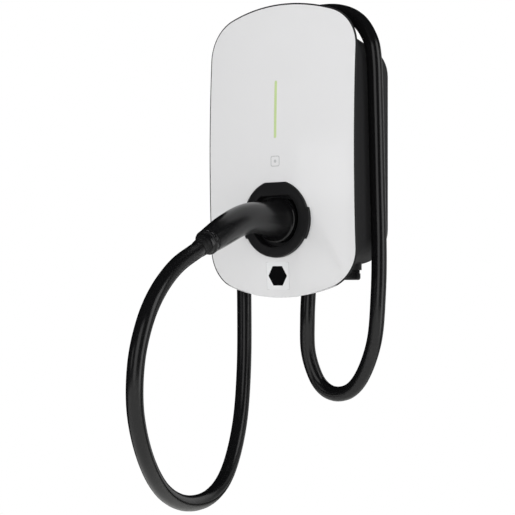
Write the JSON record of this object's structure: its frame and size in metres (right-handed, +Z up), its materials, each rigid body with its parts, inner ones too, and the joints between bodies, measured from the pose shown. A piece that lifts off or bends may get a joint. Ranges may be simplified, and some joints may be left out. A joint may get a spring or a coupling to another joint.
{
  "type": "ev wallbox",
  "caption": "Wall-mounted electric car charger with an arched white face panel, a light bar, a plug in its holster and a tethered cable looped round the housing.",
  "frame": {"origin": "centre of the four wall holes, on the wall's plane at the bracket's back face", "axes": "+X right and +Z up as seen from the front, +Y into the wall"},
  "size_m": [0.2227, 0.387, 0.6052],
  "materials": {
    "panel_white": "smooth gloss white",
    "light_green": "translucent, lit yellow-green",
    "housing_charcoal": "fine moulded texture",
    "holster_black": "satin black",
    "plug_black": "satin black, soft sheen",
    "cable_black": "smooth cable jacket",
    "boot_rubber": "soft rubber",
    "gland_black": "moulded nylon",
    "seal_rubber": "soft rubber",
    "bracket_steel": "galvanised sheet",
    "screw_steel": "zinc plated",
    "contact_silver": "silver plated",
    "board_green": "solder mask",
    "relay_blue": "moulded case",
    "terminal_grey": "moulded nylon",
    "sensor_black": "moulded case",
    "supply_yellow": "wound and taped core",
    "capacitor_sleeve": "shrink sleeve",
    "shield_steel": "tinned shield"
  },
  "bodies": {
    "root": {"front_panel": "panel_white", "light_bar": "light_green", "light_board": "board_green", "reader_board": "board_green", "front_cover": "housing_charcoal", "cover_seal": "seal_rubber", "cover_screws": "screw_steel", "holster": "holster_black", "holster_screws": "screw_steel", "housing": "housing_charcoal", "wall_bracket": "bracket_steel", "bracket_screws": "screw_steel", "main_board": "board_green", "board_screws": "screw_steel", "relays": "relay_blue", "supply_terminals": "terminal_grey", "output_terminals": "terminal_grey", "current_sensor": "sensor_black", "power_supply": "supply_yellow", "capacitors": "capacitor_sleeve", "radio_module": "shield_steel", "output_gland": "gland_black", "output_gland_nut": "gland_black", "output_gland_seal": "seal_rubber", "output_locknut": "gland_black", "output_leads": "cable_black", "supply_gland": "gland_black", "supply_gland_nut": "gland_black", "supply_gland_seal": "seal_rubber", "supply_locknut": "gland_black", "plug_nose": "plug_black", "plug_contacts": "contact_silver", "plug_handle": "plug_black", "clamp_nut": "plug_black", "cable_boot": "boot_rubber", "charging_cable": "cable_black"}
  },
  "joints": []
}
